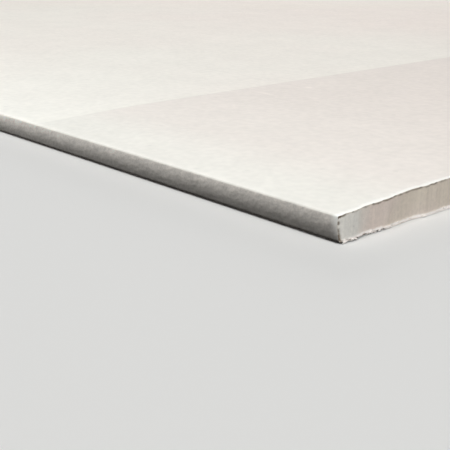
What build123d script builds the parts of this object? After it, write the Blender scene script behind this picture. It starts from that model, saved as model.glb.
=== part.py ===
from build123d import *
import os
from math import sqrt

# Gypsum plasterboard sheet with two tapered long edges, lying face up.
# X runs along the sheet, Y across it and Z up. The origin is at the middle of the back.
# All sizes are in millimetres.

# Overall sheet
sheet_length = 2438.4
sheet_width = 1219.2
sheet_thickness = 12.7

# Papers
face_paper_thickness = 0.35
back_paper_thickness = 0.35
flap_width = 25.0               # face paper folded under the sheet, measured from the long edge
back_paper_inset = 14.0         # from the long edge to the edge of the back paper

# Long edges
taper_width = 60.0              # band along each long edge where the face slopes down
taper_depth = 1.8               # how far the face has dropped where the slope meets the edge
taper_blend_radius = 250.0      # soft break between the flat face and the slope
edge_bow_radius = 22.0          # the side of the sheet bulges gently outwards
widest_line_depth = 4.2         # from the face level down to the widest line of the side
arris_radius = 1.0              # bend of the paper between the slope and the side
heel_radius = 2.8               # bend of the paper between the side and the flap

# Heights and places that follow from these
arris_height = sheet_thickness - taper_depth
widest_line_height = sheet_thickness - widest_line_depth
flap_height = back_paper_thickness
half_width = sheet_width / 2


def side_at(height):
    """Distance from the sheet's middle to the bowed side at a height above the floor."""
    rise = height - widest_line_height
    return half_width - edge_bow_radius + sqrt(edge_bow_radius**2 - rise**2)


slope_start = (half_width - taper_width, sheet_thickness)
arris = (side_at(arris_height), arris_height)
widest = (half_width, widest_line_height)
heel = (side_at(flap_height), flap_height)

# Closed outline of the sheet inside the outer skin of the face paper, looking along the sheet
with BuildSketch() as wrapped_outline:
    with BuildLine():
        Line(slope_start, arris)
        ThreePointArc(arris, widest, heel)
        mirror(about=Plane.YZ)
        Line((-slope_start[0], sheet_thickness), slope_start)
        Line((-heel[0], flap_height), heel)
    make_face()
    for bend, radius in (
        (slope_start, taper_blend_radius),
        (arris, arris_radius),
        (heel, heel_radius),
    ):
        for side in (1, -1):
            corner = wrapped_outline.vertices().sort_by_distance((side * bend[0], bend[1]))[0]
            fillet(corner, radius=radius)

# Strip of the back that the two folded flaps leave open
open_back_width = sheet_width - 2 * flap_width
open_back_place = (0, flap_height + face_paper_thickness / 2)

sawn_end = Plane.YZ.offset(-sheet_length / 2)

# Gypsum core: fills the wrap and comes down between the flaps to the back paper
with BuildPart() as gypsum_core:
    with BuildSketch(sawn_end):
        offset(wrapped_outline.face(), amount=-face_paper_thickness)
        with Locations(open_back_place):
            Rectangle(open_back_width, face_paper_thickness)
    extrude(amount=sheet_length)
gypsum_core.part.label = "gypsum_core"

# Face paper: one skin over the face, down both sides and folded under as two flaps
with BuildPart() as face_paper:
    with BuildSketch(sawn_end):
        add(wrapped_outline.face())
        offset(wrapped_outline.face(), amount=-face_paper_thickness, mode=Mode.SUBTRACT)
        with Locations(open_back_place):
            Rectangle(open_back_width, face_paper_thickness, mode=Mode.SUBTRACT)
    extrude(amount=sheet_length)
face_paper.part.label = "face_paper"

# Back paper: one flat strip under the core that laps over both flaps
with BuildPart() as back_paper:
    with BuildSketch(Plane.XY):
        Rectangle(sheet_length, sheet_width - 2 * back_paper_inset)
    extrude(amount=back_paper_thickness)
back_paper.part.label = "back_paper"

os.makedirs("parts", exist_ok=True)
export_step(gypsum_core.part, "parts/gypsum_core.step")
export_step(face_paper.part, "parts/face_paper.step")
export_step(back_paper.part, "parts/back_paper.step")
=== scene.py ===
import math
from functools import partial

import bmesh
import bpy
import numpy as np
from bpy.props import FloatProperty, FloatVectorProperty, IntProperty, PointerProperty
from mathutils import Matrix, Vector


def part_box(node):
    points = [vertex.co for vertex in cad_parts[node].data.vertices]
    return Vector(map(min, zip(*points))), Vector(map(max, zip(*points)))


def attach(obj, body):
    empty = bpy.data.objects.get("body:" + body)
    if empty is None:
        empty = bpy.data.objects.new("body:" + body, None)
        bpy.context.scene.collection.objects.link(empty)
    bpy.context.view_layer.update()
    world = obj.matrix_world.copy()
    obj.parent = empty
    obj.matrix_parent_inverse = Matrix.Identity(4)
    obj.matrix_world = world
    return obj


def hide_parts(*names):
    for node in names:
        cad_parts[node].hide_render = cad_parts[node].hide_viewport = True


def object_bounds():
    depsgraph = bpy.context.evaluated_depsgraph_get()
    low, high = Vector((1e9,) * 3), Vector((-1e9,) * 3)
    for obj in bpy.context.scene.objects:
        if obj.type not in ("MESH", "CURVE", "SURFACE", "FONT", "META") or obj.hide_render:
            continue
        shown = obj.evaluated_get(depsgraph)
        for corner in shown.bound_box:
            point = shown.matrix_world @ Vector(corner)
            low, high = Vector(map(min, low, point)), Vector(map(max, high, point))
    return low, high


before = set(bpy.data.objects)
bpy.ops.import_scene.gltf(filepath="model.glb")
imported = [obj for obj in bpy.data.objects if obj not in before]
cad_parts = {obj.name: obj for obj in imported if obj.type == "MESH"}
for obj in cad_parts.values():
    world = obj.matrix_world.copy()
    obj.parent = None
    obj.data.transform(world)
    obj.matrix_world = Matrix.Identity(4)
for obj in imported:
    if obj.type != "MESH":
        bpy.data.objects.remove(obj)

bl_info = {
    "name": "Drywall sheet",
    "version": (1, 0, 0),
    "blender": (4, 5, 0),
    "location": "View3D > Sidebar > Drywall",
    "description": "Dresses a gypsum board: papered face, wrapped long edges and sawn ends",
    "category": "Add Mesh",
}

# The sheet lies on Z 0 with X along it and Y across it. Everything is in metres.
MM = 0.001
BODY = "root"
DUST_REACH = 8 * MM
# Picked by search, from 4000, 400 and about 29,000 seeds: the saw's by how well the +X end's top edge
# follows its line measured in the photograph, and the tufts' by where brown fibre shows at that corner.
SAW_SEED, SAW_RIPPLE_SEED, TUFT_SEED = 434, 138, 116268
# The least distance that points keep from the widest line, the saw line and the floor.
LEAST_GAP = 0.02 * MM

face_low, face_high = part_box("face_paper")
core_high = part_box("gypsum_core")[1]
back_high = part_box("back_paper")[1]
CAD_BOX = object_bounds()


def linear(hex_colour):
    """Turns an sRGB hex colour such as "E9E2DB" into linear red, green and blue."""
    channels = [int(hex_colour[i : i + 2], 16) / 255 for i in (0, 2, 4)]
    return tuple(c / 12.92 if c <= 0.04045 else ((c + 0.055) / 1.055) ** 2.4 for c in channels)


def level_property(name, description, default, **limits):
    return FloatProperty(name=name, description=description, default=default, min=0.0, **limits)


def length_property(name, description, default):
    return level_property(name, description, default, unit="LENGTH", precision=5)


def share_property(name, description, default):
    return level_property(name, description, default, max=1.0, subtype="FACTOR")


def colour_property(name, description, hex_colour):
    return FloatVectorProperty(
        name=name,
        description=description,
        default=linear(hex_colour),
        min=0.0,
        max=1.0,
        subtype="COLOR",
    )


class SheetSizes(bpy.types.PropertyGroup):
    """Sizes of the sheet; the overall ones come from the parts in model.glb."""

    end: length_property("Half length", "From the middle of the sheet to a sawn end", face_high.x)
    half_width: length_property("Half width", "From the middle to the widest line", face_high.y)
    thickness: length_property("Thickness", "Overall thickness", face_high.z)
    face_paper: length_property("Face paper", "Thickness of the face paper", face_high.z - core_high.z)
    back_paper: length_property("Back paper", "Thickness of the back paper", back_high.z)
    back_half_width: length_property("Back half width", "From the middle to its edge", back_high.y)
    taper_width: length_property("Taper width", "Band where the face slopes down", 60 * MM)
    taper_depth: length_property("Taper depth", "Drop of the face at the edge", 1.8 * MM)
    taper_blend_radius: length_property("Taper blend", "Soft break between face and slope", 250 * MM)
    bow_radius: length_property("Edge bow", "Radius of the bulging side", 22 * MM)
    widest_line_depth: length_property("Widest line", "From the face down to the widest line", 4.2 * MM)
    arris_radius: length_property("Arris", "Bend of the paper from the slope to the side", 1.0 * MM)
    heel_radius: length_property("Heel", "Bend of the paper from the side to the flap", 1.7 * MM)
    flap_width: length_property("Flap", "Face paper folded under the sheet", 25 * MM)


class PaperLook(bpy.types.PropertyGroup):
    """Colours and relief of the two papers."""

    face_colour: colour_property("Face paper", "Ivory face paper", "E8DED7")
    face_drift_colour: colour_property("Face paper drift", "Where the ivory leans to green", "E9E4DC")
    side_colour: colour_property("Wrapped side", "Ivory a little yellowed by handling", "EADED5")
    ply_colour: colour_property("Inner plies", "Pale dusty plies that show where the paper is cut", "E2D8CC")
    # Low on the folded sides this brown is also painted shade for the gap under the heel.
    parted_plies_and_shade_colour: colour_property("Parted plies", "Brown dashes where the plies came apart", "6E6153")
    back_colour: colour_property("Back paper", "Grey recycled back paper", "A39B8D")
    band_width: length_property("Dulled band", "From a sawn end to where the dulled band stops", 203 * MM)
    band_strength: share_property("Band strength", "How much the band dulls the face", 0.06)
    dust_colour: colour_property("Dust", "Gypsum dust beside the saw cut", "FCF8F2")
    dust_width: length_property("Dust rim", "How far the dust lies from the saw cut", 3.0 * MM)
    edge_wander: length_property("Edge wander", "Slow unevenness of the wrapped side", 0.08 * MM)
    corner_roll: length_property("Corner roll", "How far the saw pressed the paper in at the cut", 0.45 * MM)
    end_raggedness: length_property("Ragged ends", "How unevenly the saw left the paper", 0.25 * MM)
    back_torn: length_property("Torn back", "How far the back paper tore back at the ends", 1.6 * MM)


class SawnEndLook(bpy.types.PropertyGroup):
    """Colours and relief of the bare core at the sawn ends."""

    gypsum_colour: colour_property("Gypsum", "Sawn gypsum core", "EADBD0")
    gypsum_drift_colour: colour_property("Gypsum drift", "Where the core leans to beige", "E6DACA")
    hard_edge_colour: colour_property("Hard edge", "Denser gypsum beside the long edges", "EFEBE3")
    crushed_colour: colour_property("Crushed gypsum", "Chalky gypsum along the bottom edge", "F7F0EA")
    # This brown is also painted shade under the face paper's edge and at the heel.
    fibre_and_shade_colour: colour_property("Torn fibre", "Brown fibre caught in the core beside the paper", "7A6B5B")
    hard_edge_width: length_property("Hard edge width", "Width of the denser gypsum", 14 * MM)
    saw_wander: length_property("Saw wander", "How far the saw cut strays in from the end", 2.1 * MM)
    recess: length_property("Recess", "How far the core stands back from the paper's end", 0.25 * MM)
    streak_depth: length_property("Saw streaks", "Depth of the upright saw marks", 0.03 * MM)
    crushed_height: length_property("Crushed band", "Height of the crushed band", 0.6 * MM)
    chips: IntProperty(name="Chips", description="Broken places on each sawn end", default=90, min=0)
    crumbs: IntProperty(name="Crumbs", description="Crumbs that hang on each sawn end", default=260, min=0)
    shreds: IntProperty(name="Shreds", description="Torn bits of paper on each end", default=80, min=0)


class StageLook(bpy.types.PropertyGroup):
    """Camera, floor and light."""

    floor_colour: colour_property("Floor", "Pale floor as the camera sees it", "ECECEA")
    floor_bounce: colour_property("Floor bounce", "Floor as the light that it gives back sees it", "1C1C1B")
    dome_level: level_property("Dome", "Faint light from everywhere above", 0.06)
    under_level: level_property("Under light", "Light that falls on the back", 0.8)
    key_level: level_property("Key", "Broad light from the sawn end's side", 0.58)
    fill_level: level_property("Fill", "Broad light high over the near long edge", 0.465)
    rim_level: level_property("Rim", "Low light on the far end and the far edge", 0.36)
    strip_level: level_property("Strip", "Long light close to the near long edge", 0.31)


# Section of the sheet


def corner_arc(corner, toward_start, toward_end, radius, steps):
    """Points of the arc that rounds a corner between two straight directions."""
    start = toward_start / np.linalg.norm(toward_start)
    end = toward_end / np.linalg.norm(toward_end)
    half_angle = math.acos(float(np.clip(start @ end, -1, 1))) / 2
    middle = (start + end) / np.linalg.norm(start + end)
    centre = corner + middle * radius / math.sin(half_angle)
    first = corner + start * radius / math.tan(half_angle) - centre
    last = corner + end * radius / math.tan(half_angle) - centre
    turn = (math.pi - 2 * half_angle) * math.copysign(1, first[0] * last[1] - first[1] * last[0])
    angles = np.linspace(0, turn, steps + 1)[:, None]
    quarter_turned = np.array([-first[1], first[0]])
    return centre + first * np.cos(angles) + quarter_turned * np.sin(angles)


def side_at(sizes, height):
    """Distance from the sheet's middle to the bowed side, and the side's lean there."""
    rise = height - (sizes.thickness - sizes.widest_line_depth)
    reach = np.sqrt(sizes.bow_radius**2 - rise**2)
    return sizes.half_width - sizes.bow_radius + reach, -rise / reach


def stretch(start, end, fine, coarse):
    """Points on a straight stretch at a fine spacing, and which of them a coarse row keeps."""
    run = np.linalg.norm(end - start)
    bays = max(1, round(run / coarse))
    fine_per_bay = max(1, round(run / bays / fine))
    steps = bays * fine_per_bay
    shares = np.linspace(0, 1, steps + 1)[:, None]
    return start + (end - start) * shares, np.arange(steps + 1) % fine_per_bay == 0


def wrap_profile(sizes):
    """The face paper's outer line from flap to flap as y, z points, and which points coarse rows keep."""
    slope_start = np.array([sizes.half_width - sizes.taper_width, sizes.thickness])
    arris_height = sizes.thickness - sizes.taper_depth
    arris_reach, arris_lean = side_at(sizes, arris_height)
    heel_reach, heel_lean = side_at(sizes, sizes.back_paper)
    arris = np.array([arris_reach, arris_height])
    heel = np.array([heel_reach, sizes.back_paper])
    flap_end = np.array([sizes.half_width - sizes.flap_width, sizes.back_paper])
    level = np.array([-1.0, 0.0])
    blend = corner_arc(slope_start, level, arris - slope_start, sizes.taper_blend_radius, 4)
    shoulder = corner_arc(arris, slope_start - arris, np.array([-arris_lean, -1.0]), sizes.arris_radius, 8)
    turn_under = corner_arc(heel, np.array([heel_lean, 1.0]), level, sizes.heel_radius, 10)
    heights = np.linspace(shoulder[-1, 1], turn_under[0, 1], 15)[1:-1]
    side = np.stack([side_at(sizes, heights)[0], heights], 1)
    face = stretch(np.array([0.0, sizes.thickness]), blend[0], 1 * MM, 120 * MM)
    slope = stretch(blend[-1], shoulder[0], 0.5 * MM, 6 * MM)
    flap = stretch(turn_under[-1], flap_end, 1 * MM, 6 * MM)
    lines = [face[0], blend[1:], slope[0][1:], shoulder[1:], side, turn_under, flap[0][1:]]
    kept = [face[1], True, slope[1][1:], True, True, True, flap[1][1:]]
    half = np.concatenate(lines)
    half_keep = np.concatenate([np.broadcast_to(keep, len(line)) for line, keep in zip(lines, kept)])
    other = half[:0:-1] * np.array([-1.0, 1.0])
    return np.concatenate([other, half]), np.concatenate([half_keep[:0:-1], half_keep])


def inward_normals(profile):
    """Unit normals of the profile, pointing into the sheet."""
    along = np.gradient(profile, axis=0)
    along /= np.linalg.norm(along, axis=1)[:, None]
    return np.stack([along[:, 1], -along[:, 0]], 1)


def arc_lengths(profile):
    return np.concatenate([[0], np.cumsum(np.linalg.norm(np.diff(profile, axis=0), axis=1))])


# Unevenness


def wander(positions, wavelength, seed):
    """Smooth seeded unevenness between -1 and 1 along a line, the same at a place for every piece."""
    positions = np.asarray(positions) / wavelength
    lowest = math.floor(-1.5 / wavelength)
    values = np.random.default_rng(seed).uniform(-1, 1, math.ceil(3 / wavelength) + 2)
    cell = np.floor(positions).astype(int)
    share = positions - cell
    share = share * share * (3 - 2 * share)
    return values[cell - lowest] * (1 - share) + values[cell - lowest + 1] * share


def unevenness(positions, parts, shift=0):
    """Sum of wanders along a line; each part is a wavelength in millimetres, a share and a seed."""
    return sum(share * wander(positions, length * MM, seed + shift) for length, share, seed in parts)


def grain(first, second, wavelength, seed):
    """Smooth seeded unevenness between -1 and 1 over a surface."""
    first, second = np.asarray(first) / wavelength, np.asarray(second) / wavelength
    low_first, low_second = math.floor(first.min()) - 1, math.floor(second.min()) - 1
    count = (int(first.max() - low_first) + 3, int(second.max() - low_second) + 3)
    values = np.random.default_rng(seed).uniform(-1, 1, count)
    i, j = np.floor(first).astype(int), np.floor(second).astype(int)
    s, t = first - i, second - j
    s, t = s * s * (3 - 2 * s), t * t * (3 - 2 * t)
    i, j = i - low_first, j - low_second
    near = values[i, j] * (1 - s) + values[i + 1, j] * s
    far = values[i, j + 1] * (1 - s) + values[i + 1, j + 1] * s
    return near * (1 - t) + far * t


def saw_line(across, look, sign):
    """How far in from the end the saw cut runs, across the sheet; core and papers share it."""
    seed = SAW_SEED if sign > 0 else SAW_SEED + 1
    strays = unevenness(across, ((9, 0.7, seed), (3.5, 0.3, SAW_RIPPLE_SEED + sign)))
    return look.saw_wander * (0.5 + 0.5 * strays)


def tufts(y, z, sign):
    """How much brown fibre the saw pulled out up each folded side, and painted shade at the heel; core and
    paper share it.
    """
    seed = TUFT_SEED + (0 if sign > 0 else 2)
    amount = np.where(y < 0, wander(z, 1.3 * MM, seed), wander(z, 1.3 * MM, seed + 1))
    # Painted shade: below about 1.5 mm it is brown all along, standing for the dark gap under the heel.
    return np.clip(0.55 + 1.3 * amount + np.clip(1.5 - z / (1.2 * MM), 0, 1), 0, 1)


def pressed_share(y, z, sizes):
    """How much of the corner roll a place got: all high on the side, none at the heel, some on the face."""
    on_side = np.clip((np.abs(y) - sizes.half_width + 4 * MM) / (2 * MM), 0, 1)
    off_heel = np.clip((z - 1.5 * MM) / (4 * MM), 0, 1)
    on_top = z > sizes.thickness - sizes.taper_depth - sizes.arris_radius
    return on_side * off_heel + 0.3 * on_top * (1 - on_side)


def clear_of_side(from_side):
    """How much of the saw's crushing a place has: none within 0.8 mm of the wrap's side, all from 1.8 mm."""
    return np.clip(from_side / MM - 0.8, 0, 1)


def crushed_lip(above_bottom):
    """How far the crushed gypsum bulges out along the bottom, so that it faces up a little."""
    return 0.4 * MM * np.clip(1 - above_bottom / (0.9 * MM), 0, 1)


# Mesh building


class Shell:
    """Collects points and faces of one piece."""

    sharp_angle = math.radians(40)

    def __init__(self):
        self.points, self.faces, self.material_index, self.count = [], [], [], 0

    def add_points(self, points):
        """Adds points and returns their numbers."""
        points = np.asarray(points, float).reshape(-1, 3)
        self.points.append(points)
        self.count += len(points)
        return np.arange(self.count - len(points), self.count)

    def add_faces(self, faces, material=0):
        self.faces += faces
        self.material_index += [material] * len(faces)

    def join_rows(self, row, next_row, material=0):
        """Quads between two rows of the same count."""
        self.add_faces(np.stack([row[:-1], row[1:], next_row[1:], next_row[:-1]], 1).tolist(), material)

    def zip_rows(self, row, next_row, row_at, next_at):
        """Triangles between two rows of different counts, matched by their places along the row."""
        faces, i, j = [], 0, 0
        while i < len(row) - 1 or j < len(next_row) - 1:
            if j == len(next_row) - 1 or (i < len(row) - 1 and row_at[i + 1] <= next_at[j + 1]):
                faces.append([row[i], row[i + 1], next_row[j]])
                i += 1
            else:
                faces.append([row[i], next_row[j + 1], next_row[j]])
                j += 1
        self.add_faces(faces)

    def make(self, name, materials, slot, replaced=(), attributes=None):
        """Makes the object, with its normals outwards, inside the sheet's box and riding on its body."""
        low, high = np.array(CAD_BOX[0]), np.array(CAD_BOX[1])
        mesh = bpy.data.meshes.new(name)
        mesh.from_pydata(np.clip(np.concatenate(self.points), low, high).tolist(), [], self.faces)
        for material in materials:
            mesh.materials.append(material)
        mesh.polygons.foreach_set("material_index", np.array(self.material_index, np.int32))
        for attribute, values in (attributes or {}).items():
            made = mesh.attributes.new(attribute, "FLOAT", "POINT")
            made.data.foreach_set("value", np.asarray(values, np.float32))
        shape = bmesh.new()
        shape.from_mesh(mesh)
        bmesh.ops.recalc_face_normals(shape, faces=shape.faces)
        shape.to_mesh(mesh)
        shape.free()
        mesh.polygons.foreach_set("use_smooth", np.ones(len(mesh.polygons), bool))
        mesh.set_sharp_from_angle(angle=self.sharp_angle)
        piece = bpy.data.objects.new(name, mesh)
        bpy.context.scene.collection.objects.link(piece)
        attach(piece, BODY)
        if replaced:
            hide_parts(*replaced)
        return piece


# Materials


def add_node(tree, kind, inputs=(), output=0, **settings):
    """Adds a shader node with its settings, fills its inputs in order or by name, and gives one output.

    An input gets a value, or a link from another node's output. A MapRange node takes a value, the two
    ends of its range and what it gives at each. A Mix node of colours takes its share at 0 and the
    colours at 6 and 7, and gives the mixed colour at 2.
    """
    made = tree.nodes.new("ShaderNode" + kind)
    for name, value in settings.items():
        setattr(made, name, value)
    for key, value in inputs.items() if isinstance(inputs, dict) else enumerate(inputs):
        if isinstance(value, bpy.types.NodeSocket):
            tree.links.new(value, made.inputs[key])
        else:
            made.inputs[key].default_value = value
    return made.outputs[output] if made.outputs else None


def node_adder(owner):
    """Empties the shader tree of a material or a world, and gives the function that adds nodes to it."""
    owner.use_nodes = True
    owner.node_tree.nodes.clear()
    return partial(add_node, owner.node_tree)


def shared_material(make, *looks):
    """The material named for the function that makes it, made when a piece first asks for it."""
    material = bpy.data.materials.get(make.__name__)
    if material is None:
        material = bpy.data.materials.new(make.__name__)
        make(node_adder(material), *looks)
    return material


def mottled(add, tone, vector, wavelength, swing, detail=3.0, roughness=0.5, mask=1.0):
    """Multiplies a tone by noise of about 1 - swing to 1 + swing, and gives the tone and the noise."""
    pattern = {"Vector": vector, "Scale": 1 / wavelength, "Detail": detail, "Roughness": roughness}
    noise = add("TexNoise", pattern)
    swung = add("MapRange", (noise, 0.3, 0.7, -swing, swing))
    factor = add("Math", (swung, mask, 1.0), operation="MULTIPLY_ADD")
    return add("Math", (tone, factor), operation="MULTIPLY"), noise


def manila_face_paper(add, look, sizes):
    """Ivory face paper, pressed smooth on the paper machine.

    It is dull and very even, with faint clouds of fibre, and crinkles where it is bent round the side.
    """
    place = add("TexCoord", output="Object")
    x, y, z = add("SeparateXYZ", (place,)).node.outputs
    across = add("Math", (y,), operation="ABSOLUTE")
    from_middle = add("Math", (x,), operation="ABSOLUTE")
    from_cut = add("Math", (sizes.end, from_middle), operation="SUBTRACT")
    near_cut = add("Attribute", output="Fac", attribute_name="near_cut")
    drift = add("TexNoise", {"Vector": place, "Scale": 1 / (350 * MM), "Detail": 2.0})
    from_fleck = add("TexVoronoi", {"Vector": place, "Scale": 1 / (32 * MM)}, voronoi_dimensions="2D")
    patches = add("TexNoise", {"Vector": place, "Scale": 1 / (2.5 * MM), "Detail": 3.0})
    arris_height = sizes.thickness - sizes.taper_depth
    taper_start = sizes.half_width - sizes.taper_width
    taper_full = sizes.half_width - sizes.taper_width / 3
    band_line = sizes.end - look.band_width
    ranges = {
        # The ivory leans to green in drifts, most beyond the darker band and towards the long edges; on the
        # tapered edges this lighter green is a painted sheen.
        "drifting": (drift, 0.35, 0.65, 0.4, 1),
        "beyond_band": (x, band_line + 1 * MM, band_line - 1 * MM, 0.2, 1),
        "off_middle": (across, 50 * MM, 250 * MM, 0.3, 1),
        # Painted sheen: the tapered edges take the lighter, greener ivory.
        "tapered": (across, taper_start, taper_full, 0, 1),
        # Lumps of coarse fibre show as faint dark flecks, 1.5 to 3 mm wide and about 30 mm apart.
        "fleck": (from_fleck, 0.02, 0.045, 0.95, 1),
        # The bent side starts 1 mm below the arris.
        "on_side": (z, arris_height - 1 * MM, arris_height, 1, 0),
        # Painted light and shade: the bulging side is painted paler towards its top and darker lower down,
        # as light falls on it. It is also darker near the ends.
        "painted_side_light": (z, 3 * MM, 9.4 * MM, -0.18, 0.26),
        # The side is darker near each cut, most within 60 mm, and a little paler from 190 mm on.
        "darker_near_ends": (from_cut, 60 * MM, 190 * MM, -0.2, 0.04),
        # The bend from face to side is painted paler: a painted highlight along the arris.
        "painted_bend_highlight": (across, sizes.half_width - 4 * MM, sizes.half_width - 1.5 * MM, 0, 0.035),
        # The mesh holds how far from the cut each point is, as a share of the dust's reach.
        "cut_distance": (near_cut, 0, 1, DUST_REACH, 0),
        # Dust lies thickest beside the face.
        "thickest_dust": (z, 3 * MM, arris_height, 0.15, 0.9),
    }
    graded = {name: add("MapRange", ends) for name, ends in ranges.items()}
    on_side = graded["on_side"]

    # Roller streaks run along the sheet. Fibre clouds are 24 mm wide and break up down to 3 mm; single
    # fibres are finer than a pixel, so those 3 mm clouds stand for them.
    streaked = add("Mapping", {"Vector": place, "Scale": (0.04, 1.0, 1.0)})
    tone, _ = mottled(add, 1.0, streaked, 40 * MM, 0.006)
    tone, clouds = mottled(add, tone, place, 24 * MM, 0.026, roughness=0.7)
    tone, _ = mottled(add, tone, place, 4 * MM, 0.028, detail=1.0)
    # On the bent side the paper crinkles in worms 1.5 to 3 mm apart, which lean along the sheet.
    normal = add("Bump", {"Height": clouds, "Distance": 0.03 * MM, "Strength": 0.5})
    for length, width, lean in ((3.0, 1.4, 35), (9.0, 2.2, 15)):
        turned = {"Vector": place, "Rotation": (0, -math.radians(lean), 0), "Scale": (length / width, 1, 1)}
        stretched = add("Mapping", turned, vector_type="TEXTURE")
        tone, crinkle = mottled(add, tone, stretched, width * MM, 0.09, detail=2.0, mask=on_side)
        raised = {"Height": crinkle, "Distance": 0.12 * MM, "Strength": on_side, "Normal": normal}
        normal = add("Bump", raised)
    tone, _ = mottled(add, tone, place, 0.9 * MM, 0.07, detail=1.0, mask=on_side)

    # The side's painted light and shade scale its colour only where the paper is bent round.
    shift = add("Math", (graded["painted_side_light"], graded["darker_near_ends"]), operation="ADD")
    side_light_and_shade = add("Math", (shift, on_side, 1.0), operation="MULTIPLY_ADD")
    off_side = add("Math", (1.0, on_side), operation="SUBTRACT")
    # The painted highlight along the arris stays off the bent side.
    bend_with_highlight = add("Math", (graded["painted_bend_highlight"], off_side, 1.0), operation="MULTIPLY_ADD")
    tones = [graded["fleck"], side_light_and_shade, darker_band(add, look, sizes, x), bend_with_highlight]
    # Two pale scuffs near the +X end, where something was dragged over the face.
    for from_end, from_edge, half_length, turn in ((184, 142, 9, -3), (180, 176, 4, 15)):
        scuffed = {
            "Vector": place,
            "Location": (sizes.end - from_end * MM, from_edge * MM - sizes.half_width, sizes.thickness),
            "Rotation": (0, 0, math.radians(turn)),
            "Scale": (half_length * MM, 2.4 * MM, 5 * MM),
        }
        spot = add("Mapping", scuffed, vector_type="TEXTURE")
        away = add("VectorMath", (spot,), "Value", operation="LENGTH")
        tones.append(add("MapRange", (away, 0.4, 1, 1.09, 1)))
    for factor in tones:
        tone = add("Math", (tone, factor), operation="MULTIPLY")

    aside = add("Math", (graded["beyond_band"], graded["off_middle"]), operation="MULTIPLY")
    apart = add("Math", (aside, graded["tapered"]), operation="MAXIMUM")
    leaning = add("Math", (graded["drifting"], apart), operation="MULTIPLY")
    # Gypsum dust whitens the paper beside the saw cut, further in on the side than on the face.
    widened = add("Math", (on_side, 0.3, 1.0), operation="MULTIPLY_ADD")
    patchy = add("Math", (patches, widened), operation="MULTIPLY")
    dust_reach = add("Math", (patchy, 2 * look.dust_width), operation="MULTIPLY")
    fading = (graded["cut_distance"], 0.3 * look.dust_width, dust_reach, graded["thickest_dust"], 0)
    dust = add("MapRange", fading)
    colour = (*look.face_colour, 1)
    for share, over in ((leaning, look.face_drift_colour), (on_side, look.side_colour)):
        colour = add("Mix", {0: share, 6: colour, 7: (*over, 1)}, 2, data_type="RGBA")
    colour = add("VectorMath", {0: colour, "Scale": tone}, operation="SCALE")
    colour = add("Mix", {0: dust, 6: colour, 7: (*look.dust_colour, 1)}, 2, data_type="RGBA")
    surface = add("BsdfPrincipled", {"Base Color": colour, "Roughness": 0.85, "IOR": 1.47, "Normal": normal})
    add("OutputMaterial", {"Surface": surface})


def darker_band(add, look, sizes, along):
    """How much the band beside the +X end is darkened, up to its straight inner line."""
    outside = 35 * MM
    share = add("MapRange", (along, sizes.end, sizes.end - look.band_width - outside, 0, 1))
    ramp = add("ValToRGB", (share,))
    stops = (
        (0.0, 0.0),
        (look.band_width - 1.5 * MM, -look.band_strength),
        (look.band_width, -look.band_strength - 0.015),
        (look.band_width + 1.5 * MM, 0.012),
        (look.band_width + outside, 0.0),
    )
    elements = ramp.node.color_ramp.elements
    while len(elements) < len(stops):
        elements.new(0.5)
    # The ramp holds four times each shift round a middle of 0.5, because it can't go below 0.
    for element, (distance, shift) in zip(elements, stops):
        element.position = distance / (look.band_width + outside)
        element.color = (*(0.5 + 4 * shift,) * 3, 1)
    return add("Math", (ramp, 0.25, 0.875), operation="MULTIPLY_ADD")


def cut_paper_plies(add, look):
    """Cut edge of the recycled paper: pale with dust, brown in dashes where its plies parted.

    The mesh says where the saw pulled tufts of fibre out of the folded sides, and low on them the brown is
    painted shade.
    """
    place = add("TexCoord", output="Object")
    tuft = add("Attribute", output="Fac", attribute_name="brown_fibre_and_shade")
    dashes = add("TexNoise", {"Vector": place, "Scale": 1 / (2.2 * MM), "Detail": 1.0})
    parted = add("Math", (tuft, -0.3, dashes), operation="MULTIPLY_ADD")
    whole = add("MapRange", (parted, 0.34, 0.44, 0, 1))
    plies = {0: whole, 6: (*look.parted_plies_and_shade_colour, 1), 7: (*look.ply_colour, 1)}
    colour = add("Mix", plies, 2, data_type="RGBA")
    surface = add("BsdfPrincipled", {"Base Color": colour, "Roughness": 0.95, "IOR": 1.47})
    add("OutputMaterial", {"Surface": surface})


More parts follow.
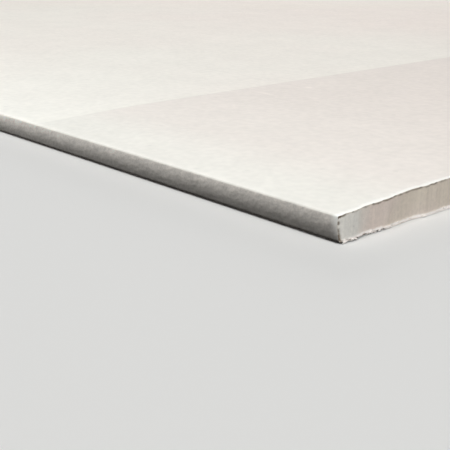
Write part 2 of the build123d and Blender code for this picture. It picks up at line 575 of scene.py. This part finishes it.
def sawn_gypsum(add, look, sizes):
    """Set gypsum, sawn across.

    It is chalky and matt, with faint upright saw marks and air pores, greyer and denser beside the long
    edges, white where the saw crushed it, and brown where fibre of the paper is caught in it; that brown is
    also painted shade under the face paper's edge and at the heel.
    """
    place = add("TexCoord", output="Object")
    y = add("SeparateXYZ", (place,), "Y")
    blotches = add("TexNoise", {"Vector": place, "Scale": 1 / (7 * MM), "Detail": 2.0})
    patches = add("TexNoise", {"Vector": place, "Scale": 1 / (30 * MM), "Detail": 1.0})
    from_pore = add("TexVoronoi", {"Vector": place, "Scale": 1 / (4 * MM)})
    across = add("Math", (y,), operation="ABSOLUTE")
    wavering = add("Math", (blotches, 6 * MM, across), operation="MULTIPLY_ADD")
    hard_edge = sizes.half_width - look.hard_edge_width + 3 * MM
    ranges = {
        "hard": (wavering, hard_edge - 4 * MM, hard_edge + 4 * MM, 0, 1),
        "drifting": (patches, 0.4, 0.6, 0, 1),
        "pore": (from_pore, 0.04, 0.09, 0.85, 1),
    }
    graded = {name: add("MapRange", ends) for name, ends in ranges.items()}
    colour = (*look.gypsum_colour, 1)
    for share, over in (("drifting", look.gypsum_drift_colour), ("hard", look.hard_edge_colour)):
        colour = add("Mix", {0: graded[share], 6: colour, 7: (*over, 1)}, 2, data_type="RGBA")
    # Saw marks are 1 to 2 mm apart and nearly upright; the grit of the gypsum is drawn at 0.5 mm.
    upright = add("Mapping", {"Vector": place, "Scale": (1.0, 1.0, 0.05)})
    tone = graded["pore"]
    for vector, wavelength, swing in (
        (upright, 1.3 * MM, 0.04),
        (upright, 6 * MM, 0.015),
        (place, 18 * MM, 0.02),
        (place, 1.5 * MM, 0.05),
        (place, 0.5 * MM, 0.04),
    ):
        tone, grit = mottled(add, tone, vector, wavelength, swing)
    colour = add("VectorMath", {0: colour, "Scale": tone}, operation="SCALE")
    # The mesh says where the gypsum is crushed and where it is brown with fibre and painted shade; grit
    # makes their outlines ragged.
    for attribute, over in (("crushed", look.crushed_colour), ("brown_fibre_and_shade", look.fibre_and_shade_colour)):
        amount = add("Attribute", output="Fac", attribute_name=attribute)
        ragged = add("Math", (grit, 0.8, amount), operation="MULTIPLY_ADD")
        share = add("MapRange", (ragged, 0.5, 1.2, 0, 1))
        colour = add("Mix", {0: share, 6: colour, 7: (*over, 1)}, 2, data_type="RGBA")
    normal = add("Bump", {"Height": grit, "Distance": 0.08 * MM, "Strength": 0.5})
    surface = add("BsdfPrincipled", {"Base Color": colour, "Roughness": 0.95, "IOR": 1.52, "Normal": normal})
    add("OutputMaterial", {"Surface": surface})


def recycled_back_paper(add, look):
    """Grey back paper made of waste pulp and left uncoated: dull, cloudy and flecked."""
    place = add("TexCoord", output="Object")
    tone = 1.0
    # Broad clouds are 260 mm wide, small ones 14 mm, and the dark flecks about 1 mm. A row holds that
    # size, the two ends of the noise's range and the tone at each.
    for wavelength, *ends in (
        (260 * MM, 0.3, 0.7, 0.96, 1.04),
        (14 * MM, 0.3, 0.7, 0.93, 1.06),
        (1.1 * MM, 0.74, 0.62, 0.72, 1.0),
    ):
        noise = add("TexNoise", {"Vector": place, "Scale": 1 / wavelength, "Detail": 4.0})
        swung = add("MapRange", (noise, *ends))
        tone = add("Math", (tone, swung), operation="MULTIPLY")
    colour = add("VectorMath", {0: tuple(look.back_colour), "Scale": tone}, operation="SCALE")
    normal = add("Bump", {"Height": noise, "Distance": 0.05 * MM, "Strength": 0.5})
    surface = add("BsdfPrincipled", {"Base Color": colour, "Roughness": 0.92, "IOR": 1.47, "Normal": normal})
    add("OutputMaterial", {"Surface": surface})


# Pieces


class DRYWALL_OT_face_paper(bpy.types.Operator):
    """Face paper: one skin over the face, down both tapered edges and folded under as two flaps"""

    bl_idname = "drywall.face_paper"
    bl_label = "Face paper"

    cut_rows = np.array([0.0, 0.4, 0.9, 1.6, 2.6, 4.0, DUST_REACH / MM]) * MM
    near_reach = 300 * MM
    near_spacing = 2.5 * MM
    far_spacing = 11 * MM

    def execute(self, context):
        sizes, look = context.scene.drywall_sizes, context.scene.drywall_papers
        sawn = context.scene.drywall_sawn_ends
        outer, keep = wrap_profile(sizes)
        inward = inward_normals(outer)
        inner = outer + inward * sizes.face_paper
        at = arc_lengths(outer)
        thinned = keep & (np.arange(len(keep)) % 2 == 0)
        thinned[[0, -1]] = True
        # Only the slope, side and flap wander; the flat face stays level.
        slope_share = (np.abs(outer[:, 0]) - (sizes.half_width - sizes.taper_width)) / sizes.taper_width
        looseness = look.edge_wander * np.clip(slope_share, 0, 1)
        everywhere = np.ones(len(at), bool)
        rows = []
        for sign in (1, -1):
            ragged = 0.5 + unevenness(at, ((5, 0.25, 20), (1.6, 0.15, 30), (40, 0.1, 40)), sign)
            ragged = ragged * look.end_raggedness * (1 + 0.8 * np.clip(slope_share, 0, 1) ** 8)
            ragged = ragged + saw_line(outer[:, 0], sawn, sign)
            cut = []
            for offset in self.cut_rows:
                settled = 1 - offset / self.cut_rows[-1]
                xs = sign * (sizes.end - offset - ragged * settled)
                near_cut = max(0.0, 1 - offset / (3 * MM)) ** 2
                pressed = near_cut * look.corner_roll * pressed_share(*outer.T, sizes)
                cut.append((xs, everywhere, everywhere, pressed, settled))
            rows.append(cut if sign > 0 else cut[::-1])
        near_end = sizes.end - self.near_reach
        stations = np.concatenate(
            [
                np.arange(sizes.end - self.cut_rows[-1] - self.near_spacing, near_end, -self.near_spacing),
                np.arange(near_end, -sizes.end + self.cut_rows[-1] + self.near_spacing, -self.far_spacing),
            ]
        )
        middle = [(np.full(len(at), x), keep, thinned, np.zeros(len(at)), 0.0) for x in stations]
        folded = np.clip((np.abs(outer[:, 0]) - sizes.half_width + 4.2 * MM) / (1.2 * MM), 0, 1)
        shell, numbered, closeness, torn = Shell(), [], [], []
        for xs, outer_kept, inner_kept, pressed, settled in rows[0] + middle + rows[1]:
            places = (xs[outer_kept], at[outer_kept])
            slack = grain(*places, 45 * MM, 3) + 0.5 * grain(*places, 12 * MM, 4)
            push = np.maximum((0.75 + 0.5 * slack) * looseness[outer_kept], 0) + pressed[outer_kept]
            skin = outer[outer_kept] + inward[outer_kept] * push[:, None]
            lining = inner[inner_kept] + inward[inner_kept] * pressed[inner_kept][:, None]
            top = shell.add_points(np.column_stack([xs[outer_kept], skin]))
            under = shell.add_points(np.column_stack([xs[inner_kept], lining]))
            numbered.append(((top, at[outer_kept]), (under, at[inner_kept])))
            closeness.append(np.full(len(top) + len(under), settled))
            fibre = folded * tufts(*outer.T, 1 if xs[0] > 0 else -1)
            torn += [fibre[outer_kept], fibre[inner_kept]]
        for pair, next_pair in zip(numbered, numbered[1:]):
            for (row, row_at), (next_row, next_at) in zip(pair, next_pair):
                if len(row) == len(next_row):
                    shell.join_rows(row, next_row)
                else:
                    shell.zip_rows(row, next_row, row_at, next_at)
            for edge in (0, -1):
                (top, _), (under, _) = pair
                (next_top, _), (next_under, _) = next_pair
                shell.add_faces([[top[edge], next_top[edge], next_under[edge], under[edge]]], 1)
        for (top, _), (under, _) in (numbered[0], numbered[-1]):
            shell.join_rows(top, under, 1)
        shell.make(
            "face_paper_wrap",
            [
                shared_material(manila_face_paper, look, sizes),
                shared_material(cut_paper_plies, look),
            ],
            "face_paper",
            ["face_paper"],
            {"near_cut": np.concatenate(closeness), "brown_fibre_and_shade": np.concatenate(torn)},
        )
        return {"FINISHED"}


class DRYWALL_OT_gypsum_core(bpy.types.Operator):
    """Gypsum core: full section under the papers, with sawn, streaked and chipped ends"""

    bl_idname = "drywall.gypsum_core"
    bl_label = "Gypsum core"

    rows = 25
    # Columns of points stand closer together near the corners, and closest in the last few millimetres.
    spacing, fine_spacing = 1 * MM, 0.35 * MM
    fine_reach, corner_reach, corner_columns = 90 * MM, 4 * MM, 26
    grit_depth, grit_size = 0.02 * MM, 0.7 * MM

    def execute(self, context):
        sizes, look = context.scene.drywall_sizes, context.scene.drywall_sawn_ends
        pressed = 0.9 * context.scene.drywall_papers.corner_roll
        outer, _ = wrap_profile(sizes)
        inner = outer + inward_normals(outer) * sizes.face_paper
        half = inner[inner[:, 0] >= 0]
        widest = int(np.argmax(half[:, 0]))
        upper, lower = half[: widest + 1], half[: widest - 1 : -1]
        reach = half[widest, 0] - LEAST_GAP
        across = np.concatenate(
            [
                np.arange(0, reach - self.fine_reach, self.spacing),
                np.arange(reach - self.fine_reach, reach - self.corner_reach, self.fine_spacing),
                reach - self.corner_reach * np.cos(np.linspace(0, math.pi / 2, self.corner_columns)) ** 2,
            ]
        )
        across = np.concatenate([-across[:0:-1], across])
        top = np.interp(np.abs(across), *upper.T)
        bottom = np.interp(np.abs(across), *lower.T)
        bottom = np.where(np.abs(across) < sizes.half_width - sizes.flap_width, sizes.back_paper, bottom)
        # Rows stand closest together along the two papers.
        shares = (1 - np.cos(np.linspace(0, math.pi, self.rows))) / 2
        y = np.repeat(across[:, None], self.rows, 1)
        z = bottom[:, None] + (top - bottom)[:, None] * shares
        side_places, side_heights = np.concatenate([lower, upper[-2::-1]]).T
        above_bottom, below_top = z - bottom[:, None], top[:, None] - z
        from_side = np.interp(z, side_heights, side_places) - np.abs(y)
        # The saw pressed the rim of the core in together with the paper round it.
        squeezed = pressed * pressed_share(y, z, sizes)
        lowered = pressed * pressed_share(y, top[:, None], sizes)
        end_y = y - np.sign(y) * squeezed * np.exp(-((from_side / (2 * MM)) ** 2))
        end_z = z - lowered * np.exp(-((below_top / (1.5 * MM)) ** 2))
        shell, ends, crushed, torn = Shell(), [], [], []
        for seed, sign in enumerate((1, -1)):
            crush = self.crushed_share(look, y, above_bottom, seed) * clear_of_side(from_side)
            fibre = self.fibre_and_shade_amount(y, z, below_top, from_side, seed, sign)
            depth = self.depth(look, y, z, above_bottom, below_top, from_side, crush, fibre, seed)
            x = sign * (sizes.end - saw_line(y, look, sign) - depth)
            ends.append(shell.add_points(np.stack([x, end_y, end_z], 2)).reshape(y.shape))
            crushed.append(crush.ravel())
            torn.append(fibre.ravel())
        for end in ends:
            for column, next_column in zip(end, end[1:]):
                shell.join_rows(column, next_column)
        near, far = ends
        for edge in (0, -1):
            shell.join_rows(near[:, edge], far[:, edge])
            shell.join_rows(near[edge], far[edge])
        shell.make(
            "gypsum_core_sawn",
            [shared_material(sawn_gypsum, look, sizes)],
            "gypsum",
            ["gypsum_core"],
            {"crushed": np.concatenate(crushed), "brown_fibre_and_shade": np.concatenate(torn)},
        )
        return {"FINISHED"}

    def crushed_share(self, look, y, above_bottom, seed):
        """How crushed the core is: fully along the bottom, where the saw broke out."""
        height = look.crushed_height * (1 + unevenness(y, ((7, 0.35, 70), (1.5, 0.3, 75)), seed))
        return np.clip(1.7 - 1.2 * above_bottom / height, 0, 1)

    def fibre_and_shade_amount(self, y, z, below_top, from_side, seed, sign):
        """How much brown the core shows, fibre with painted shade: in dashes under the face, most at the
        corners, and down the sides.
        """
        near_corner = np.clip(1 - from_side / (5 * MM), 0, 1)
        dashes = 0.55 + unevenness(y, ((2.2, 0.5, 110), (9, 0.3, 115)), seed)
        dashes = np.clip(dashes + 1.1 * near_corner, 0, 1)
        # Painted shadow: the dashes under the face also stand for the shade below the paper's overhanging
        # edge.
        fibre_and_shade_below_face = np.exp(-((below_top / (0.65 * MM)) ** 2)) * dashes
        fibre_and_shade_by_sides = np.exp(-((from_side / (0.95 * MM)) ** 2)) * tufts(y, z, sign)
        return np.clip(fibre_and_shade_below_face + fibre_and_shade_by_sides, 0, 1)

    def depth(self, look, y, z, above_bottom, below_top, from_side, crush, fibre, seed):
        """How far the sawn face stands back from the end of the sheet at each point."""
        leaning = y + 0.12 * z
        # The cut leans a little, so the core stands back less under the face than at the bottom.
        depth = look.recess * (0.6 + 0.6 * below_top / below_top.max() + 0.2 * wander(y, 60 * MM, seed + 50))
        streaks = unevenness(leaning, ((0.8, 0.6, 8), (1.9, 1.0, 19), (5.0, 1.2, 50)), seed)
        depth = depth + look.streak_depth * streaks
        depth = depth + self.grit_depth * grain(y, z, self.grit_size, seed + 60)
        # The crushed band bulges out in lumps, and the core has crumbled where fibre was torn out of it.
        lumps = 0.08 * grain(y, z, 0.9 * MM, seed + 80) + 0.05 * grain(y, z, 0.45 * MM, seed + 90)
        uneven = 1 + 0.3 * wander(y, 5 * MM, seed + 85)
        lip = crushed_lip(above_bottom) * uneven * clear_of_side(from_side)
        depth = np.maximum(depth, LEAST_GAP) - lip - crush * lumps * MM + 0.25 * MM * fibre
        random = np.random.default_rng(seed + 100)
        reach = np.abs(y).max()
        for chip in range(look.chips):
            at_top = chip % 3 == 0
            # Half of the chips crowd towards the corners, which get knocked, and are bigger there.
            knocked = chip % 2
            place = reach * (0.994 - random.uniform(0, 0.22) ** 2) if knocked else random.uniform(0, reach)
            place = place * random.choice((-1, 1))
            half_length = random.uniform(0.3, 1.0) * MM
            tall_range, deep_range = (0.2, 0.4 + 0.15 * knocked), (0.1, 0.25 + 0.1 * knocked)
            if at_top:
                tall_range, deep_range = (0.3, 0.5), (0.2, 0.5)
            tall = random.uniform(*tall_range) * MM
            deep = random.uniform(*deep_range) * MM
            from_edge = below_top if at_top else above_bottom
            hollow = np.clip(1 - ((y - place) / half_length) ** 2 - (from_edge / tall) ** 2, 0, 1)
            depth = depth + deep * np.sqrt(hollow)
        return depth


class DRYWALL_OT_back_paper(bpy.types.Operator):
    """Back paper: one flat strip over the core and both flaps, a little torn at the sawn ends"""

    bl_idname = "drywall.back_paper"
    bl_label = "Back paper"

    cut_rows = np.array([0.0, 0.4, 1.2, 4.0, 20.0]) * MM
    columns = 1192

    def execute(self, context):
        sizes, look = context.scene.drywall_sizes, context.scene.drywall_papers
        sawn = context.scene.drywall_sawn_ends
        across = np.linspace(-sizes.back_half_width, sizes.back_half_width, self.columns)
        # Crushed gypsum is smeared over its cut edge, except where brown fibre hangs out of it.
        smeared = np.clip(0.8 + 0.5 * wander(across, 4 * MM, 220), 0, 1)
        hanging = np.clip(0.9 * wander(across, 3 * MM, 221) - 0.45, 0, 1)
        shell, numbered = Shell(), []
        for sign in (1, -1):
            ragged = 0.9 + unevenness(across, ((6, 0.5, 200), (1.6, 0.3, 210)), sign)
            # It tore away where it laps over the flaps; elsewhere its edge leans out with the crushed gypsum.
            lapped = np.clip((np.abs(across) - sizes.half_width + 30 * MM) / (8 * MM), 0.08, 1)
            ragged = ragged * lapped * look.back_torn + saw_line(across, sawn, sign) - crushed_lip(0)
            rows = []
            for offset in self.cut_rows:
                settled = 1 - offset / self.cut_rows[-1]
                rows.append(offset + ragged * settled)
            for inset in rows if sign > 0 else rows[::-1]:
                lean = 0.15 * MM * (inset is rows[0])
                edges = []
                for at, z in ((inset, 0.0), (inset + lean, sizes.back_paper)):
                    level = np.full(len(across), z)
                    edges.append(shell.add_points(np.column_stack([sign * (sizes.end - at), across, level])))
                numbered.append(edges)
        for (low, high), (next_low, next_high) in zip(numbered, numbered[1:]):
            shell.join_rows(low, next_low)
            shell.join_rows(high, next_high)
            for edge in (0, -1):
                shell.add_faces([[low[edge], next_low[edge], next_high[edge], high[edge]]], 1)
        for low, high in (numbered[0], numbered[-1]):
            shell.join_rows(low, high, 1)
        copies = 2 * len(numbered)
        shell.make(
            "back_paper_sheet",
            [
                shared_material(recycled_back_paper, look),
                shared_material(sawn_gypsum, sawn, sizes),
            ],
            "back_paper",
            ["back_paper"],
            {"crushed": np.tile(smeared, copies), "brown_fibre_and_shade": np.tile(hanging, copies)},
        )
        return {"FINISHED"}


class DRYWALL_OT_sawing_crumbs(bpy.types.Operator):
    """Crumbs of crushed gypsum that hang along the bottom of the sawn ends"""

    bl_idname = "drywall.sawing_crumbs"
    bl_label = "Sawing crumbs"

    seed = 7

    def execute(self, context):
        sizes, look = context.scene.drywall_sizes, context.scene.drywall_sawn_ends
        random = np.random.default_rng(self.seed)
        ball = bmesh.new()
        bmesh.ops.create_icosphere(ball, subdivisions=2, radius=1.0)
        lump = np.array([v.co[:] for v in ball.verts])
        triangles = np.array([[v.index for v in f.verts] for f in ball.faces])
        ball.free()
        shell = Shell()
        reach = sizes.half_width - 2.2 * MM
        for sign in (1, -1):
            for crumb in range(look.crumbs):
                size = random.uniform(0.12, 0.38) * MM
                y = random.uniform(-reach, reach)
                if crumb % 3 == 0:
                    y = math.copysign(reach * (1 - random.uniform(0, 0.3) ** 2), y)
                uneven = 1 + 0.35 * random.uniform(-1, 1, len(lump))
                shape = lump * uneven[:, None] * np.array([0.7, random.uniform(0.8, 2.2), 0.8]) * size
                height = random.uniform(0.15, 0.95) * MM
                out = sizes.end - saw_line(y, look, sign) + crushed_lip(max(height - sizes.back_paper, 0))
                shape = shape + np.array([out - 0.6 * size, y, height])
                shape[:, 0] = sign * np.minimum(shape[:, 0], sizes.end)
                shape[:, 2] = np.maximum(shape[:, 2], LEAST_GAP)
                numbers = shell.add_points(shape)
                shell.add_faces(numbers[triangles].tolist())
        shell.make(
            "sawn_end_crumbs",
            [shared_material(sawn_gypsum, look, sizes)],
            "gypsum",
            attributes={"crushed": np.ones(shell.count), "brown_fibre_and_shade": np.zeros(shell.count)},
        )
        return {"FINISHED"}


class DRYWALL_OT_torn_shreds(bpy.types.Operator):
    """Torn shreds of face paper that curl off the cut line of the wrap"""

    bl_idname = "drywall.torn_shreds"
    bl_label = "Torn paper shreds"

    seed = 11
    steps = 6
    thickness = 0.07 * MM

    def execute(self, context):
        sizes, papers = context.scene.drywall_sizes, context.scene.drywall_papers
        look = context.scene.drywall_sawn_ends
        random = np.random.default_rng(self.seed)
        outer, _ = wrap_profile(sizes)
        inward = inward_normals(outer)
        at = arc_lengths(outer)
        shell = Shell()
        for sign in (1, -1):
            for shred in range(look.shreds):
                # Most shreds hang on the bent sides, where the saw enters and leaves the wrap.
                place = random.uniform(24, 38) * MM if shred % 3 else random.uniform(0, at[-1])
                place = place if random.random() < 0.5 else at[-1] - place
                root, normal = (
                    np.array([np.interp(place, at, column) for column in line.T])
                    for line in (outer, inward)
                )
                along = np.array([normal[1], -normal[0]]) * random.choice((-1, 1))
                length, width = random.uniform(0.4, 1.3) * MM, random.uniform(0.08, 0.22) * MM
                curl = random.uniform(0.05, 0.3)
                cut = sizes.end - saw_line(root[0], look, sign)
                root = root + normal * (0.15 * MM + papers.corner_roll * pressed_share(*root, sizes))
                rings = []
                for share in np.linspace(0, 1, self.steps + 1):
                    middle = root + along * length * share + normal * length * curl * share**2
                    out = 0.2 * MM * (1 - share) + 0.1 * MM
                    narrowed = width * (1 - 0.6 * share)
                    for dx, lift in ((0, 0), (narrowed, 0), (narrowed, self.thickness), (0, self.thickness)):
                        spot = middle + normal * lift
                        rings.append([sign * (cut - out - dx), spot[0], max(spot[1], LEAST_GAP)])
                numbers = shell.add_points(rings).reshape(-1, 4)
                for ring, next_ring in zip(numbers, numbers[1:]):
                    shell.join_rows(np.append(ring, ring[0]), np.append(next_ring, next_ring[0]))
                shell.add_faces([numbers[0].tolist(), numbers[-1].tolist()])
        shell.make(
            "torn_paper_shreds",
            [shared_material(manila_face_paper, papers, sizes)],
            "face_paper",
        )
        return {"FINISHED"}


class DRYWALL_OT_stage(bpy.types.Operator):
    """Camera, pale floor and soft studio light"""

    bl_idname = "drywall.stage"
    bl_label = "Stage"

    floor_reach = 60.0
    floor_drop = 0.15 * MM
    opening_inset = 4.5 * MM
    near_corner = Vector((face_high.x, face_low.y, 0.0))
    camera_from_corner = Vector((186.25 * MM, -219.3 * MM, 103.04 * MM))
    azimuth = math.radians(48.26)
    elevation = math.radians(18.48)
    sensor_width = 36.0
    focal_length = 70.06
    strip_size = (4.0, 0.12)
    strip_out, strip_up, strip_past_corner = 0.12, 0.2, 0.15
    strip_colour = (0.8, 0.97, 1.0)

    def execute(self, context):
        look = context.scene.drywall_stage
        context.scene.view_settings.view_transform = "Standard"
        floor = self.floor(context, look)
        self.sky(context, look)
        self.lamps(context, look, floor)
        self.camera(context)
        return {"FINISHED"}

    def floor(self, context, look):
        """A level floor, open under the sheet and clear from below, so that the back can be lit and seen."""
        opening = (face_high.x - self.opening_inset, face_high.y - self.opening_inset)
        corners = ((-1, -1), (1, -1), (1, 1), (-1, 1))
        points = [
            (a * x, b * y, -self.floor_drop)
            for x, y in ((self.floor_reach,) * 2, opening)
            for a, b in corners
        ]
        mesh = bpy.data.meshes.new("floor")
        mesh.from_pydata(points, [], [(i, (i + 1) % 4, 4 + (i + 1) % 4, 4 + i) for i in range(4)])
        material = bpy.data.materials.new("pale_floor")
        add = node_adder(material)
        shades = {0: self.seen_directly(add), 6: (*look.floor_bounce, 1), 7: (*look.floor_colour, 1)}
        colour = add("Mix", shades, 2, data_type="RGBA")
        painted = add("BsdfDiffuse", (colour,))
        clear = add("BsdfTransparent")
        from_below = add("NewGeometry", output="Backfacing")
        shader = add("MixShader", (from_below, painted, clear))
        add("OutputMaterial", {"Surface": shader})
        mesh.materials.append(material)
        floor = bpy.data.objects.new("floor", mesh)
        context.scene.collection.objects.link(floor)
        return floor

    def seen_directly(self, add):
        """A socket that is 1 for what the camera sees, also in gloss and through glass."""
        path = add("LightPath").node.outputs
        seen = 0.0
        for ray in ("Is Camera Ray", "Is Glossy Ray", "Is Transmission Ray"):
            seen = add("Math", (seen, path[ray]), operation="MAXIMUM")
        return seen

    def sky(self, context, look):
        """Faint light from above, more from below for the back, and a plain pale background."""
        world = bpy.data.worlds.new("studio")
        context.scene.world = world
        add = node_adder(world)
        direction = add("TexCoord", output="Generated")
        height = add("SeparateXYZ", (direction,), "Z")
        level = add("MapRange", (height, -0.001, 0.001, look.under_level, look.dome_level))
        light = add("Background", {"Color": (1, 1, 1, 1), "Strength": level})
        plain = add("Background", {"Color": (*look.floor_colour, 1), "Strength": 1.0})
        mixed = add("MixShader", (self.seen_directly(add), light, plain))
        add("OutputWorld", {"Surface": mixed})

    def lamps(self, context, look, floor):
        """Three broad far lights, and a long one close to the near long edge that stops at the corner."""
        for name, toward, spread, level in (
            ("key", (0.85, -0.15, 0.50), 30, look.key_level),
            ("fill", (0.0, -0.34, 0.94), 30, look.fill_level),
            ("rim", (-0.70, 0.70, 0.14), 30, look.rim_level),
        ):
            far_light = bpy.data.lights.new(name, "SUN")
            far_light.energy = level * math.pi
            far_light.angle = math.radians(spread)
            lamp = bpy.data.objects.new(name, far_light)
            lamp.rotation_mode = "QUATERNION"
            lamp.rotation_quaternion = Vector(toward).to_track_quat("Z", "Y")
            context.scene.collection.objects.link(lamp)
        strip = bpy.data.lights.new("strip", "AREA")
        strip.shape = "RECTANGLE"
        strip.size, strip.size_y = self.strip_size
        distance = math.hypot(self.strip_out, self.strip_up)
        # From a long strip of width w, an edge at that distance gets its radiance * w / (2 * distance).
        radiance = look.strip_level * 2 * distance / self.strip_size[1] * distance / self.strip_up
        strip.energy = radiance * math.pi * self.strip_size[0] * self.strip_size[1]
        strip.color = self.strip_colour
        strip_lamp = bpy.data.objects.new("strip", strip)
        middle = face_high.x + self.strip_past_corner - self.strip_size[0] / 2
        strip_lamp.location = (middle, face_low.y - self.strip_out, self.strip_up)
        strip_lamp.rotation_euler = (math.atan2(self.strip_out, self.strip_up), 0.0, 0.0)
        strip_lamp.visible_camera = False
        context.scene.collection.objects.link(strip_lamp)
        # It is so close that it would glare on the floor, so it leaves the floor out.
        left_out = bpy.data.collections.new("not_lit_by_strip")
        left_out.objects.link(floor)
        left_out.collection_objects[0].light_linking.link_state = "EXCLUDE"
        strip_lamp.light_linking.receiver_collection = left_out

    def camera(self, context):
        back = Vector(
            (
                math.sin(self.azimuth) * math.cos(self.elevation),
                -math.cos(self.azimuth) * math.cos(self.elevation),
                math.sin(self.elevation),
            )
        )
        lens = bpy.data.cameras.new("camera")
        lens.sensor_width = self.sensor_width
        lens.lens = self.focal_length
        lens.clip_start = 10 * MM
        lens.clip_end = 200.0
        camera = bpy.data.objects.new("camera", lens)
        camera.location = self.near_corner + self.camera_from_corner
        camera.rotation_mode = "QUATERNION"
        camera.rotation_quaternion = back.to_track_quat("Z", "Y")
        context.scene.collection.objects.link(camera)
        context.scene.camera = camera


PROPERTY_GROUPS = {
    "drywall_sizes": SheetSizes,
    "drywall_papers": PaperLook,
    "drywall_sawn_ends": SawnEndLook,
    "drywall_stage": StageLook,
}
OPERATORS = (
    DRYWALL_OT_gypsum_core,
    DRYWALL_OT_face_paper,
    DRYWALL_OT_back_paper,
    DRYWALL_OT_sawing_crumbs,
    DRYWALL_OT_torn_shreds,
    DRYWALL_OT_stage,
)


class DRYWALL_PT_sidebar(bpy.types.Panel):
    """Lists the sheet's pieces in the 3D view's sidebar"""

    bl_label = "Drywall sheet"
    bl_idname = "DRYWALL_PT_sidebar"
    bl_space_type = "VIEW_3D"
    bl_region_type = "UI"
    bl_category = "Drywall"

    def draw(self, context):
        layout = self.layout
        for operator in OPERATORS:
            layout.operator(operator.bl_idname)
        for name in PROPERTY_GROUPS:
            box = layout.box()
            group = getattr(context.scene, name)
            for key in group.bl_rna.properties.keys():
                if key not in ("rna_type", "name"):
                    box.prop(group, key)


CLASSES = (*PROPERTY_GROUPS.values(), *OPERATORS, DRYWALL_PT_sidebar)


def register():
    for listed in CLASSES:
        bpy.utils.register_class(listed)
    for name, group in PROPERTY_GROUPS.items():
        setattr(bpy.types.Scene, name, PointerProperty(type=group))


def unregister():
    for name in PROPERTY_GROUPS:
        delattr(bpy.types.Scene, name)
    for listed in reversed(CLASSES):
        bpy.utils.unregister_class(listed)


def main():
    register()
    bpy.ops.drywall.gypsum_core()
    bpy.ops.drywall.face_paper()
    bpy.ops.drywall.back_paper()
    bpy.ops.drywall.sawing_crumbs()
    bpy.ops.drywall.torn_shreds()
    bpy.ops.drywall.stage()


if __name__ == "__main__":
    main()
